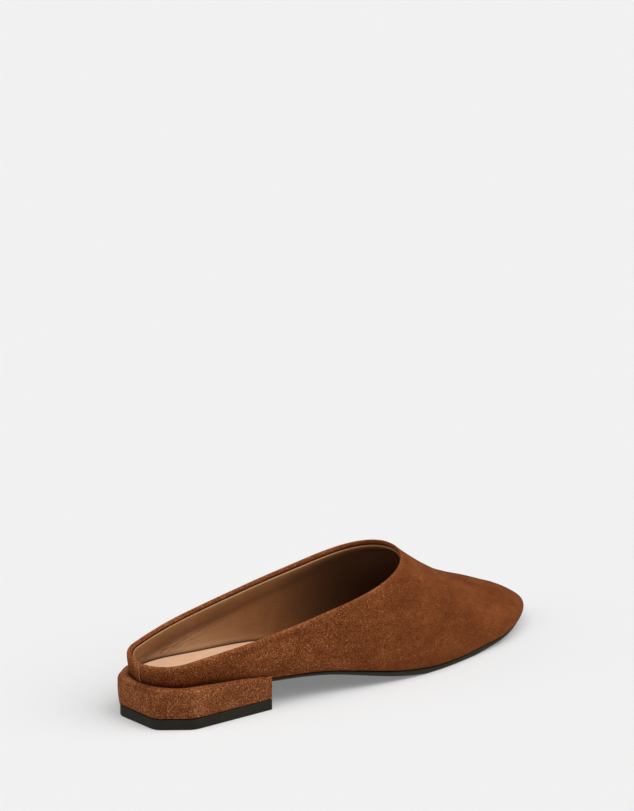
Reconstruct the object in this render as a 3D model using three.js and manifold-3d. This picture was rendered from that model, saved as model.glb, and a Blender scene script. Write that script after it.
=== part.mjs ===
// Right-foot mule on a low block heel: a closed-toe, backless-cut suede upper with a low rim round the heel,
// lasted over an insole, on a thin rubber outsole and a covered heel block with a rubber lift.
// Millimetres. x runs from heel to toe, y to the wearer's left (the inner side), z up from the floor.
// The origin is on the floor, straight below the back point of the last.

import * as THREE from 'three';
import { mergeVertices } from 'three/addons/utils/BufferGeometryUtils.js';
import Module from 'manifold-3d';

const wasm = await Module();
wasm.setup();

// Driving dimensions
const LENGTH = 255; // back point to toe tip of the last
const BALL_WIDTH = 75; // of the feather edge, both sides together
const HEEL_SEAT = 17.5; // height of the feather edge at the heel
const INSTEP = 59; // height of the ridge at the throat
const WALL = 2.2; // suede, stiffener and lining together
const GAP = 0.3; // between pieces that meet

// Sections of the last. at is a share of the length. right, left and centre are shares of the ball width:
// from the ridge line to each feather edge, and the ridge line's own offset to the left. feather is a
// share of the heel seat's height and ridge of the instep's: the heights of the edge where the upper
// meets the sole, and of the ridge (under the open back, where the ridge of a closed shoe would run).
// swell is how far the side wall stands out past the feather edge, in mm.
const SECTIONS = [
  { at: 0.00, right: 0.214, left: 0.213, centre: 0.000, feather: 1.000, ridge: 2.542, swell: 2.2 },
  { at: 0.10, right: 0.294, left: 0.302, centre: 0.000, feather: 0.978, ridge: 2.542, swell: 2.3 },
  { at: 0.22, right: 0.359, left: 0.364, centre: 0.000, feather: 0.870, ridge: 2.543, swell: 2.4 },
  { at: 0.35, right: 0.430, left: 0.369, centre: 0.000, feather: 0.739, ridge: 2.109, swell: 2.3 },
  { at: 0.49, right: 0.492, left: 0.404, centre: -0.026, feather: 0.370, ridge: 1.445, swell: 2.0 },
  { at: 0.63, right: 0.533, left: 0.466, centre: -0.002, feather: 0.168, ridge: 0.946, swell: 1.7 },
  { at: 0.75, right: 0.534, left: 0.455, centre: 0.058, feather: 0.211, ridge: 0.635, swell: 1.5 },
  { at: 0.87, right: 0.487, left: 0.356, centre: 0.083, feather: 0.320, ridge: 0.437, swell: 1.3 },
  { at: 1.00, right: 0.391, left: 0.196, centre: 0.070, feather: 0.508, ridge: 0.224, swell: 1.2 },
];
const SWELL_HEIGHT = 12; // height above the feather edge where the swell is full
const SIDE_POWER = 2.02; // cross-section: 2 is an ellipse, more is fuller
const CROWN_POWER = 1.82;
// How each end of the last rounds off, in plan and up to the ridge.
const HEEL_END = { plan: 12.3, planPower: 2.12, rise: 5, risePower: 2 };
const TOE_END = { plan: 50, planPower: 1.92, rise: 18, risePower: 2.13 };
const END_FADE = 1.3; // how fast an inset pulls the ends in

// Topline. at is a share of the length, right and left are the rims' heights as shares of the instep's.
const THROAT = 0.614; // share of the length where the topline crosses the ridge
const TOPLINE = [
  { at: 0.00, right: 0.480, left: 0.480 },
  { at: 0.10, right: 0.543, left: 0.559 },
  { at: 0.22, right: 0.615, left: 0.631 },
  { at: 0.35, right: 0.720, left: 0.734 },
  { at: 0.49, right: 0.852, left: 0.864 },
];
const ROLL = 0.9; // how far the rolled rim stands above the wall's two edges

// Outsole, at shares of the length: depth of its underside below the feather edge, and how far its edge
// lies behind the feather edge.
const SOLE = [
  { at: 0.22, depth: 1.9, inset: 0.4 },
  { at: 0.35, depth: 2.2, inset: 0.4 },
  { at: 0.49, depth: 3.0, inset: 0.4 },
  { at: 0.58, depth: 3.5, inset: 0.4 },
  { at: 0.75, depth: 3.4, inset: 0.5 },
  { at: 0.87, depth: 2.1, inset: 0.9 },
  { at: 1.00, depth: 1.6, inset: 1.9 },
];
const SOLE_BEVEL = { width: 1.2, height: 0.9 };

// Insole: thickness at shares of the length, with a cushion under the heel.
const INSOLE = [
  { at: 0.00, thickness: 3.1 },
  { at: 0.08, thickness: 3.0 },
  { at: 0.16, thickness: 1.9 },
  { at: 0.24, thickness: 1.2 },
  { at: 0.40, thickness: 1.0 },
  { at: 1.00, thickness: 1.0 },
];
const INSOLE_CLEAR = 0.6; // of the wall all round

// Heel block and lift: half outline at the floor, and the block's rise to its padded top.
const HEEL = {
  back: -3.2,
  backHalf: 13.8, // half width of the straight rear edge
  chamferEnd: 11.2,
  chamferHalf: 25.9,
  breast: 56.8,
  breastHalf: 28.5,
  corner: 2.8, // how much of each edge an upright corner's curve takes
};
const LIFT = { thickness: 5.3, bevel: 0.4 };
const BLOCK = {
  overhang: 0.4, // of its base over the lift
  flare: 1.2, // of its top over the lift, fading out towards the breast
  top: 19.9,
  tilt: -0.03, // slope of the top towards the toe
  round: 2.7,
};

const AROUND = 40; // steps along each side
const UP = 8; // steps from feather edge to topline
const SEAT = 4; // of those, the steps up the wall that the heel block's recess takes in
const ARC = 4; // steps in a rounded edge or corner
const NUDGE = 0.05; // distance over which a slope is measured

// Natural cubic through the rows' (at, column) pairs, as a function of the share of the length.
function smooth(rows, column) {
  const at = rows.map((row) => row.at);
  const value = rows.map((row) => row[column]);
  const end = at.length - 1;
  const bend = new Array(at.length).fill(0);
  const carry = new Array(at.length).fill(0);
  for (let i = 1; i < end; i++) {
    const before = at[i] - at[i - 1];
    const after = at[i + 1] - at[i];
    const pivot = 2 * (before + after) - before * carry[i - 1];
    const kink = (value[i + 1] - value[i]) / after - (value[i] - value[i - 1]) / before;
    carry[i] = after / pivot;
    bend[i] = (6 * kink - before * bend[i - 1]) / pivot;
  }
  for (let i = end - 1; i > 0; i--) bend[i] -= carry[i] * bend[i + 1];
  return (share) => {
    let i = 1;
    while (i < end && share > at[i]) i++;
    const step = at[i] - at[i - 1];
    const b = (share - at[i - 1]) / step;
    const a = 1 - b;
    const cubic = ((a ** 3 - a) * bend[i - 1] + (b ** 3 - b) * bend[i]) * step * step / 6;
    return a * value[i - 1] + b * value[i] + cubic;
  };
}

const share = {};
for (const column of ['right', 'left', 'centre', 'feather', 'ridge', 'swell']) {
  share[column] = smooth(SECTIONS, column);
}
const crest = share.ridge(THROAT);
const rimShare = {
  right: smooth([...TOPLINE, { at: THROAT, right: crest }], 'right'),
  left: smooth([...TOPLINE, { at: THROAT, left: crest }], 'left'),
};
const soleDepth = smooth(SOLE, 'depth');
const soleInset = smooth(SOLE, 'inset');
const insoleThickness = smooth(INSOLE, 'thickness');

const feather = (x) => HEEL_SEAT * share.feather(x / LENGTH);
const ridge = (x) => INSTEP * share.ridge(x / LENGTH);
const rim = (x, side) => INSTEP * (side < 0 ? rimShare.right : rimShare.left)(x / LENGTH);

// Grows from 0 at the end of the last to 1 where its rounding is over.
function roundOff(inward, length, power) {
  if (inward >= length) return 1;
  return (1 - (1 - Math.max(inward, 0) / length) ** power) ** (1 / power);
}

// Plan distance from the ridge line to the feather edge. side is -1 on the right and 1 on the left.
function reach(x, side, inset) {
  const width = BALL_WIDTH * (side < 0 ? share.right : share.left)(x / LENGTH) - inset;
  const heel = roundOff(x, HEEL_END.plan, HEEL_END.planPower);
  return width * heel * roundOff(LENGTH - x, TOE_END.plan, TOE_END.planPower);
}

// Height of the ridge above the feather edge.
function crown(x, inset) {
  const heel = roundOff(x, HEEL_END.rise, HEEL_END.risePower);
  return (ridge(x) - feather(x) - inset) * heel * roundOff(LENGTH - x, TOE_END.rise, TOE_END.risePower);
}

// Point of the last's surface, moved inwards by inset. angle runs from the right feather edge (0) over
// the ridge (90 degrees) to the left feather edge (180 degrees).
function onLast(x, angle, inset) {
  const side = Math.cos(angle) > 0 ? -1 : 1;
  const level = Math.max(Math.sin(angle), 0) ** (2 / CROWN_POWER);
  const height = crown(x, inset) * level;
  const wide = reach(x, side, inset) * Math.abs(Math.cos(angle)) ** (2 / SIDE_POWER);
  const from = Math.max(x - NUDGE, 0);
  const to = Math.min(x + NUDGE, LENGTH);
  const slope = (reach(to, side, inset) - reach(from, side, inset)) / (to - from);
  const rise = Math.min(height / SWELL_HEIGHT, 1);
  const fade = 1 - (height / (ridge(x) - feather(x))) ** 2;
  const out = share.swell(x / LENGTH) * rise * (2 - rise) * fade / Math.hypot(slope, 1);
  const pull = Math.max(1 - x / HEEL_END.plan, 0) ** END_FADE
    - Math.max(1 - (LENGTH - x) / TOE_END.plan, 0) ** END_FADE;
  return new THREE.Vector3(
    x + inset * pull - slope * out,
    BALL_WIDTH * share.centre(x / LENGTH) + side * (wide + out),
    feather(x) + height,
  );
}

// Angle at which the last is height above its feather edge.
function angleAt(x, side, height, inset) {
  const level = THREE.MathUtils.clamp(height / crown(x, inset), 0, 1);
  const angle = Math.asin(level ** (CROWN_POWER / 2));
  return side < 0 ? angle : Math.PI - angle;
}

// First place between low and high where test turns true.
function firstWhere(test, low, high) {
  for (let i = 0; i < 50; i++) {
    const middle = (low + high) / 2;
    if (test(middle)) high = middle;
    else low = middle;
  }
  return high;
}

const rimStart = firstWhere((x) => feather(x) + crown(x, 0) > rim(x, -1), 0, HEEL_END.rise);
const throat = THROAT * LENGTH;

// A loop is its two sides, right and left, each from the heel to the toe.
function loop(point) {
  const sides = [-1, 1].map((side) => {
    const line = [];
    for (let i = 0; i <= AROUND; i++) line.push(point((1 - Math.cos(Math.PI * i / AROUND)) / 2, side));
    return line;
  });
  return { right: sides[0], left: sides[1] };
}

const move = (ring, dz) => ({
  right: ring.right.map((p) => p.clone().setZ(p.z + dz)),
  left: ring.left.map((p) => p.clone().setZ(p.z + dz)),
});

// Loop round the upper: climb is 0 at the feather edge and 1 at the topline. Each line between the two
// runs along a great circle of a hemisphere that stands for the last.
function upperLoop(climb, inset) {
  const onSphere = (x, angle) => {
    const along = 2 * x / LENGTH - 1;
    const across = Math.sqrt(Math.max(1 - along * along, 0));
    return new THREE.Vector3(along, -across * Math.cos(angle), across * Math.sin(angle));
  };
  return loop((s, side) => {
    const foot = onSphere(s * LENGTH, side < 0 ? 0 : Math.PI);
    const x = rimStart + s * LENGTH - (LENGTH - throat + rimStart) * s * s;
    const head = onSphere(x, angleAt(x, side, rim(x, side) - feather(x), 0));
    const turn = foot.angleTo(head);
    const mix = foot.multiplyScalar(Math.sin((1 - climb) * turn));
    mix.addScaledVector(head, Math.sin(climb * turn));
    mix.divideScalar(Math.sin(turn));
    return onLast(LENGTH * (1 + mix.x) / 2, Math.atan2(Math.max(mix.z, 0), -mix.y), inset);
  });
}

// Loop at height(x) above the feather edge.
function levelLoop(height, inset) {
  const start = firstWhere((x) => crown(x, inset) > height(x), 0, HEEL_END.rise);
  const end = LENGTH - firstWhere((x) => crown(LENGTH - x, inset) > height(LENGTH - x), 0, TOE_END.rise);
  return loop((s, side) => {
    const x = start + s * (end - start);
    return onLast(x, angleAt(x, side, height(x), inset), inset);
  });
}

// Closed solid through rings of points. Open stacks get a cap of rungs between the two sides at each
// end; wrapped ones join the last ring to the first.
function solid(rings, wrapped = false) {
  const corners = [];
  const face = (...points) => points.forEach((p) => corners.push(p.x, p.y, p.z));
  const quad = (a, b, c, d) => {
    face(a, b, c);
    face(a, c, d);
  };
  const outlines = rings.map((ring) => [...ring.right, ...ring.left.toReversed()]);
  const joins = wrapped ? rings.length : rings.length - 1;
  for (let k = 0; k < joins; k++) {
    const lower = outlines[k];
    const upper = outlines[(k + 1) % rings.length];
    lower.forEach((p, i) => {
      const next = (i + 1) % lower.length;
      quad(p, lower[next], upper[next], upper[i]);
    });
  }
  if (!wrapped) {
    const bottom = rings[0];
    const top = rings[rings.length - 1];
    for (let i = 0; i < top.right.length - 1; i++) {
      quad(top.right[i], top.right[i + 1], top.left[i + 1], top.left[i]);
      quad(bottom.left[i], bottom.left[i + 1], bottom.right[i + 1], bottom.right[i]);
    }
  }
  const soup = new THREE.BufferGeometry();
  soup.setAttribute('position', new THREE.Float32BufferAttribute(corners, 3));
  const merged = mergeVertices(soup, 1e-3);
  const index = [...merged.index.array];
  const kept = [];
  for (let i = 0; i < index.length; i += 3) {
    const [a, b, c] = index.slice(i, i + 3);
    if (a !== b && b !== c && c !== a) kept.push(a, b, c);
  }
  merged.setIndex(kept);
  return merged;
}

function toManifold(geometry) {
  return new wasm.Manifold(new wasm.Mesh({
    numProp: 3,
    vertProperties: geometry.attributes.position.array,
    triVerts: new Uint32Array(geometry.index.array),
  }));
}

function toGeometry(manifold) {
  const mesh = manifold.getMesh();
  const geometry = new THREE.BufferGeometry();
  geometry.setAttribute('position', new THREE.BufferAttribute(mesh.vertProperties, 3));
  geometry.setIndex(new THREE.BufferAttribute(mesh.triVerts, 1));
  return geometry;
}

// Upper: one wall, open at the collar and underneath, with a rolled rim.
function upper() {
  const climbs = Array.from({ length: UP + 1 }, (_, j) => j / UP);
  const outer = climbs.map((climb) => upperLoop(climb, 0));
  const inner = climbs.map((climb) => upperLoop(climb, WALL));
  const roll = (side) => outer[UP][side].map((p, i) => {
    const q = inner[UP][side][i];
    const up = p.clone().sub(outer[UP - 1][side][i]).normalize();
    return p.clone().add(q).divideScalar(2).addScaledVector(up, ROLL);
  });
  return solid([...outer, { right: roll('right'), left: roll('left') }, ...inner.toReversed()], true);
}

// Insole: a board inside the wall, its edge following the last.
function insole() {
  const inset = WALL + INSOLE_CLEAR;
  return solid([
    levelLoop(() => 0, inset),
    levelLoop((x) => insoleThickness(x / LENGTH), inset),
  ]);
}

// Outsole: from the heel breast to the toe, flat on the floor under the ball.
function outsole() {
  const start = (HEEL.breast + GAP) / LENGTH;
  const edge = (bevel, height) => loop((s, side) => {
    const x = LENGTH * (start + s * (1 - start));
    const p = onLast(x, side < 0 ? 0 : Math.PI, soleInset(x / LENGTH) + bevel);
    return p.setZ(height(x));
  });
  const underside = (x) => Math.max(feather(x) - soleDepth(x / LENGTH), 0);
  return solid([
    edge(SOLE_BEVEL.width, underside),
    edge(0, (x) => underside(x) + SOLE_BEVEL.height),
    edge(0, (x) => feather(x) - GAP),
  ]);
}

// Half outline of the heel, its rear and chamfer edges moved out by grow and its side by less and less
// towards the breast, corners rounded, at height z(x).
function heelRing(grow, z) {
  const corners = [
    new THREE.Vector2(HEEL.back, 0),
    new THREE.Vector2(HEEL.back, HEEL.backHalf),
    new THREE.Vector2(HEEL.chamferEnd, HEEL.chamferHalf),
    new THREE.Vector2(HEEL.breast, HEEL.breastHalf),
  ];
  const edges = corners.slice(1).map((corner, i) => {
    const along = corner.clone().sub(corners[i]).normalize();
    const normal = new THREE.Vector2(-along.y, along.x);
    return { normal, offset: normal.dot(corner) + grow };
  });
  const meet = (e, f) => {
    const det = e.normal.x * f.normal.y - e.normal.y * f.normal.x;
    return new THREE.Vector2(
      (e.offset * f.normal.y - f.offset * e.normal.y) / det,
      (f.offset * e.normal.x - e.offset * f.normal.x) / det,
    );
  };
  const rear = meet(edges[0], edges[1]);
  const side = meet(edges[1], edges[2]);
  const front = corners[3];
  const path = new THREE.Path();
  path.moveTo(rear.x, 0);
  const turn = (at, before, after) => {
    const enter = at.clone().add(before.clone().sub(at).setLength(HEEL.corner));
    const leave = at.clone().add(after.clone().sub(at).setLength(HEEL.corner));
    path.lineTo(enter.x, enter.y);
    path.quadraticCurveTo(at.x, at.y, leave.x, leave.y);
  };
  turn(rear, new THREE.Vector2(rear.x, 0), side);
  turn(side, rear, front);
  path.lineTo(front.x, front.y);
  const half = path.getPoints(ARC);
  return {
    right: half.map((p) => new THREE.Vector3(p.x, -p.y, z(p.x))),
    left: half.map((p) => new THREE.Vector3(p.x, p.y, z(p.x))),
  };
}

// Heel block: chamfered rear corners, sides that flare to a rounded top edge, and a recess that takes
// the heel of the upper.
function heelBlock() {
  const base = LIFT.thickness + GAP;
  const rings = [heelRing(BLOCK.overhang, () => base)];
  for (let i = 0; i <= ARC; i++) {
    const turn = Math.PI / 2 * i / ARC;
    const grow = BLOCK.flare - BLOCK.round * (1 - Math.cos(turn));
    const drop = BLOCK.round * (1 - Math.sin(turn));
    rings.push(heelRing(grow, (x) => BLOCK.top + BLOCK.tilt * x - drop));
  }
  const seat = Array.from({ length: SEAT + 1 }, (_, j) => upperLoop(j / UP, -GAP));
  const recess = solid([move(seat[0], -GAP), ...seat]);
  return toGeometry(toManifold(solid(rings)).subtract(toManifold(recess)));
}

// Heel lift: a rubber plate with a small bevel round its underside.
function heelLift() {
  return solid([
    heelRing(-LIFT.bevel, () => 0),
    heelRing(0, () => LIFT.bevel),
    heelRing(0, () => LIFT.thickness),
  ]);
}

function piece(name, geometry, color, roughness) {
  const mesh = new THREE.Mesh(geometry, new THREE.MeshStandardMaterial({ color, roughness, metalness: 0 }));
  mesh.name = name;
  return mesh;
}

const shoe = new THREE.Group();
shoe.add(piece('upper', upper(), 0x73411f, 0.95));
shoe.add(piece('insole', insole(), 0xdcaa82, 0.6));
shoe.add(piece('outsole', outsole(), 0x2e2e29, 0.7));
shoe.add(piece('heel_block', heelBlock(), 0x7a4522, 0.95));
shoe.add(piece('heel_lift', heelLift(), 0x2a2a26, 0.6));

export default shoe;
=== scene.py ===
import bpy
import numpy as np
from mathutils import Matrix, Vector


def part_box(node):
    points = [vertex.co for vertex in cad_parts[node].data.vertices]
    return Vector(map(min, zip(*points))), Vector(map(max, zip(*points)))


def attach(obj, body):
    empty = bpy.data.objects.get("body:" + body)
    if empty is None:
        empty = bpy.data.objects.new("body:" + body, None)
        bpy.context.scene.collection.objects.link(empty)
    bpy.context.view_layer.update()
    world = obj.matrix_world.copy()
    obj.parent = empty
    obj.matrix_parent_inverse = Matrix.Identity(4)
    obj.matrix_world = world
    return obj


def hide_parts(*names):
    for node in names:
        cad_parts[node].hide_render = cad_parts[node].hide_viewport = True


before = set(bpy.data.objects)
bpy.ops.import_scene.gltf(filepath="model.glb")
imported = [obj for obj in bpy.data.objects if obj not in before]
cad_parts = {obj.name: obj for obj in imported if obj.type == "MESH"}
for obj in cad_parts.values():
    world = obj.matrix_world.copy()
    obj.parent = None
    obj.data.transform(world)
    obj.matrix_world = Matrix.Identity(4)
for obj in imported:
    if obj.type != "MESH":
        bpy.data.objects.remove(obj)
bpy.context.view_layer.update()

# ---- Insole ------------------------------------------------------------------------------------
# A board that follows the bottom of the last, covered in smooth tan leather that is glued down and
# trimmed at its edge. It comes first, because the upper is pulled over the last and on to it.

MM = 0.001
LENGTH = 255.0
BALL_WIDTH = 75.0
HEEL_SEAT = 17.5
INSTEP = 59.0
SWELL_HEIGHT = 12.0
SIDE_POWER = 2.02
CROWN_POWER = 1.82
HEEL_PLAN, HEEL_PLAN_POWER = 12.3, 2.12
HEEL_RISE, HEEL_RISE_POWER = 5.0, 2.0
TOE_PLAN, TOE_PLAN_POWER = 50.0, 1.92
TOE_RISE, TOE_RISE_POWER = 18.0, 2.13
END_FADE = 1.3
NUDGE = 0.05

# Sections of the last, from the heel to the toe, as shares of its length, ball width, heel seat and
# instep. The swell of the side wall is in millimetres.
LAST_AT = (0.00, 0.10, 0.22, 0.35, 0.49, 0.63, 0.75, 0.87, 1.00)
LAST_RIGHT = (0.214, 0.294, 0.359, 0.430, 0.492, 0.533, 0.534, 0.487, 0.391)
LAST_LEFT = (0.213, 0.302, 0.364, 0.369, 0.404, 0.466, 0.455, 0.356, 0.196)
LAST_CENTRE = (0.000, 0.000, 0.000, 0.000, -0.026, -0.002, 0.058, 0.083, 0.070)
LAST_FEATHER = (1.000, 0.978, 0.870, 0.739, 0.370, 0.168, 0.211, 0.320, 0.508)
LAST_RIDGE = (2.542, 2.542, 2.543, 2.109, 1.445, 0.946, 0.635, 0.437, 0.224)
LAST_SWELL = (2.2, 2.3, 2.4, 2.3, 2.0, 1.7, 1.5, 1.3, 1.2)


def drawn_line(at, values):
    """Smooth line through values at the given shares of the length."""
    at, values = np.array(at), np.array(values)
    gap = np.diff(at)
    system, kink = np.eye(len(at)), np.zeros(len(at))
    for i in range(1, len(at) - 1):
        system[i, i - 1:i + 2] = gap[i - 1], 2 * (gap[i - 1] + gap[i]), gap[i]
        kink[i] = 6 * ((values[i + 1] - values[i]) / gap[i] - (values[i] - values[i - 1]) / gap[i - 1])
    bend = np.linalg.solve(system, kink)

    def line(share):
        i = np.clip(np.searchsorted(at, share), 1, len(at) - 1)
        step = at[i] - at[i - 1]
        b = (share - at[i - 1]) / step
        a = 1 - b
        cubic = ((a ** 3 - a) * bend[i - 1] + (b ** 3 - b) * bend[i]) * step ** 2 / 6
        return a * values[i - 1] + b * values[i] + cubic

    return line


right_share = drawn_line(LAST_AT, LAST_RIGHT)
left_share = drawn_line(LAST_AT, LAST_LEFT)
centre_share = drawn_line(LAST_AT, LAST_CENTRE)
feather_share = drawn_line(LAST_AT, LAST_FEATHER)
ridge_share = drawn_line(LAST_AT, LAST_RIDGE)
swell_line = drawn_line(LAST_AT, LAST_SWELL)


def feather(x):
    """Height of the edge where the side wall of the last meets its bottom."""
    return HEEL_SEAT * feather_share(x / LENGTH)


def ridge(x):
    return INSTEP * ridge_share(x / LENGTH)


def round_off(inward, length, power):
    """Grows from 0 at the end of the last to 1 where its rounding is over."""
    left = np.clip(1 - inward / length, 0, 1)
    return (1 - left ** power) ** (1 / power)


def reach(x, side, inset):
    """Plan distance from the ridge line to the feather edge, on the right (-1) or left (1) side."""
    width = BALL_WIDTH * np.where(side < 0, right_share(x / LENGTH), left_share(x / LENGTH)) - inset
    heel = round_off(x, HEEL_PLAN, HEEL_PLAN_POWER)
    return width * heel * round_off(LENGTH - x, TOE_PLAN, TOE_PLAN_POWER)


def crown(x, inset=0.0):
    """Height of the ridge above the feather edge."""
    heel = round_off(x, HEEL_RISE, HEEL_RISE_POWER)
    toe = round_off(LENGTH - x, TOE_RISE, TOE_RISE_POWER)
    return (ridge(x) - feather(x) - inset) * heel * toe


def on_last(x, angle, inset=0.0):
    """Point of the last's surface, moved inwards by inset. The angle runs from the right feather edge
    (0) over the ridge to the left feather edge (pi)."""
    side = np.where(np.cos(angle) > 0, -1.0, 1.0)
    height = crown(x, inset) * np.maximum(np.sin(angle), 0) ** (2 / CROWN_POWER)
    wide = reach(x, side, inset) * np.abs(np.cos(angle)) ** (2 / SIDE_POWER)
    start = np.maximum(x - NUDGE, 0)
    end = np.minimum(x + NUDGE, LENGTH)
    slope = (reach(end, side, inset) - reach(start, side, inset)) / (end - start)
    rise = np.minimum(height / SWELL_HEIGHT, 1)
    fade = 1 - (height / (ridge(x) - feather(x))) ** 2
    out = swell_line(x / LENGTH) * rise * (2 - rise) * fade / np.hypot(slope, 1)
    pull = np.maximum(1 - x / HEEL_PLAN, 0) ** END_FADE
    pull = pull - np.maximum(1 - (LENGTH - x) / TOE_PLAN, 0) ** END_FADE
    across = BALL_WIDTH * centre_share(x / LENGTH) + side * (wide + out)
    return np.stack([x + inset * pull - slope * out, across, feather(x) + height], axis=-1)


def angle_at(x, side, height, inset=0.0):
    """Angle at which the last is that height above its feather edge."""
    level = np.clip(height / np.maximum(crown(x, inset), 1e-9), 0, 1)
    angle = np.arcsin(level ** (CROWN_POWER / 2))
    return np.where(side < 0, angle, np.pi - angle)


def first_where(test, low, high):
    """First place between low and high where test turns true."""
    for _ in range(50):
        middle = (low + high) / 2
        low, high = (low, middle) if test(middle) else (middle, high)
    return high


def both_sides(steps):
    """Stations of a loop round the shoe, given those from heel to toe: the right side out and the
    left side back. Returns the steps and the side of each."""
    steps = np.asarray(steps)
    back = steps[-2:0:-1]
    return np.concatenate([steps, back]), np.concatenate([-np.ones(len(steps)), np.ones(len(back))])


def spread(count):
    """Steps from 0 to 1, closer together towards both ends."""
    return (1 - np.cos(np.linspace(0, np.pi, count))) / 2


def piece_from_loops(name, loops, wrapped=False, flat_ends=False, marks=None):
    """Closed mesh through loops of points in millimetres, each with the same stations as both_sides
    gives. The last loop joins the first if wrapped. Otherwise each end is closed by a fan round its
    middle if the ends are flat, or by rungs from side to side. Marks are named values, one for each
    point of the loops."""
    loops = np.asarray(loops)
    rows, around = loops.shape[:2]
    faces = []
    for k in range(rows if wrapped else rows - 1):
        lower, upper = k * around, (k + 1) % rows * around
        for i in range(around):
            j = (i + 1) % around
            faces.append((lower + i, lower + j, upper + j, upper + i))
    half, top = around // 2, (rows - 1) * around
    if flat_ends:
        middle = rows * around
        faces += [(middle, (i + 1) % around, i) for i in range(around)]
        faces += [(middle + 1, top + i, top + (i + 1) % around) for i in range(around)]
    elif not wrapped:
        for i in range(half):
            near, far = i, i + 1
            opposite = ((around - far) % around, (around - near) % around)
            rung = list(dict.fromkeys((near, far) + opposite))
            faces.append([top + p for p in rung])
            faces.append(rung[::-1])
    mesh = bpy.data.meshes.new(name)
    ends = loops[[0, -1]].mean(axis=1) if flat_ends else np.zeros((0, 3))
    mesh.from_pydata((np.concatenate([loops.reshape(-1, 3), ends]) * MM).tolist(), [], faces)
    for mark, values in (marks or {}).items():
        field = mesh.attributes.new(mark, "FLOAT", "POINT")
        field.data.foreach_set("value", np.append(values, values[-1, :len(ends)]).astype(np.float32))
    mesh.shade_smooth()
    piece = bpy.data.objects.new(name, mesh)
    bpy.context.scene.collection.objects.link(piece)
    return piece


class Wire:
    """An output of a material node. Arithmetic on it adds the Math nodes that work it out."""

    def __init__(self, socket):
        self.socket = socket

    def node(self, kind, settings, sockets, out=0):
        """Adds a node of that type: its settings first, then the values or wires of its sockets."""
        made = self.socket.id_data.nodes.new(kind)
        for name, value in settings.items():
            if name == "stops":
                while len(made.color_ramp.elements) < len(value):
                    made.color_ramp.elements.new(0.5)
                for element, (position, colour) in zip(made.color_ramp.elements, value):
                    element.position, element.color = position, colour
            else:
                setattr(made, name, value)
        for name, value in sockets.items():
            if isinstance(value, Wire):
                value.to(made.inputs[name])
            else:
                made.inputs[name].default_value = value
        return Wire(made.outputs[out])

    def to(self, socket):
        self.socket.id_data.links.new(self.socket, socket)

    def math(self, operation, *values):
        return self.node("ShaderNodeMath", {"operation": operation}, dict(enumerate(values)))

    def __add__(self, other):
        return self.math("ADD", self, other)

    def __radd__(self, other):
        return self.math("ADD", other, self)

    def __sub__(self, other):
        return self.math("SUBTRACT", self, other)

    def __rsub__(self, other):
        return self.math("SUBTRACT", other, self)

    def __mul__(self, other):
        return self.math("MULTIPLY", self, other)

    def __rmul__(self, other):
        return self.math("MULTIPLY", other, self)

    def between(self, low, high):
        """0 at low, 1 at high, and smooth between the two."""
        sockets = {"Value": self, "From Min": low, "From Max": high}
        return self.node("ShaderNodeMapRange", {"interpolation_type": "SMOOTHSTEP"}, sockets)

    def mark(self, name):
        """The named value that the mesh carries at its points."""
        return self.node("ShaderNodeAttribute", {"attribute_name": name}, {}, out="Fac")

    def along(self):
        """Distance of this place from the heel, in metres."""
        return self.node("ShaderNodeSeparateXYZ", {}, {"Vector": self}, out="X")

    def stretched(self, x, y, z):
        """A place with each axis multiplied, for marks that run one way."""
        return self.node("ShaderNodeVectorMath", {"operation": "MULTIPLY"}, {0: self, 1: (x, y, z)})

    def grain(self, size, detail=2.0, roughness=0.5, distortion=0.0):
        """Noise at this place, from 0 to 1, with marks of that size in millimetres."""
        sockets = {"Vector": self, "Scale": 1 / (size * MM), "Detail": detail}
        sockets |= {"Roughness": roughness, "Distortion": distortion}
        return self.node("ShaderNodeTexNoise", {}, sockets)

    def blended(self, low, high):
        """Colour low where this value is 0, and high where it is 1."""
        sockets = {"Factor": self, 6: low, 7: high}
        return self.node("ShaderNodeMix", {"data_type": "RGBA"}, sockets, out=2)


def dye(red, green, blue):
    """Colour as paint charts give it, from 0 to 255, as the shader wants it."""
    values = [v / 255 for v in (red, green, blue)]
    return tuple(v / 12.92 if v <= 0.04045 else ((v + 0.055) / 1.055) ** 2.4 for v in values) + (1.0,)


def finish(name, **constants):
    """A material, its shader with the given constant sockets, and the place on the surface."""
    material = bpy.data.materials.new(name)
    material.use_nodes = True
    shader = material.node_tree.nodes["Principled BSDF"]
    for socket, value in constants.items():
        shader.inputs[socket.replace("_", " ")].default_value = value
    place = Wire(material.node_tree.nodes.new("ShaderNodeTexCoord").outputs["Object"])
    return material, shader, place


def raise_surface(height, depth, shader):
    """Raises the surface by height, from 0 to 1, times depth in millimetres."""
    bump = height.node("ShaderNodeBump", {}, {"Height": height, "Distance": depth * MM, "Strength": 1.0})
    bump.to(shader.inputs["Normal"])


WALL = 2.2
INSOLE_CLEAR = 0.6
INSOLE_AT = (0.00, 0.08, 0.16, 0.24, 0.40, 1.00)
INSOLE_THICKNESS = (3.1, 3.0, 1.9, 1.2, 1.0, 1.0)
INSOLE_ROUND = 0.45
INSOLE_DISH = 0.6
INSOLE_EDGE_ROWS = 6
# Rows of the top, as shares of the way from its edge to a middle line that stops short of both ends.
INSOLE_ROWS = (0.03, 0.09, 0.2, 0.36, 0.56, 0.78, 0.95)
INSOLE_MIDDLE_SHORT = 15.0
INSOLE_DISH_POWER = 0.6
INSOLE_STATIONS = 150

insole_line = drawn_line(INSOLE_AT, INSOLE_THICKNESS)


def level_loop(height, inset, steps):
    """Loop at height(x) above the feather edge."""
    s, side = both_sides(steps)
    start = first_where(lambda x: crown(x, inset) > height(x), 0.0, HEEL_RISE)
    end = LENGTH - first_where(lambda x: crown(LENGTH - x, inset) > height(LENGTH - x), 0.0, TOE_RISE)
    x = start + s * (end - start)
    return on_last(x, angle_at(x, side, height(x), inset), inset)


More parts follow.
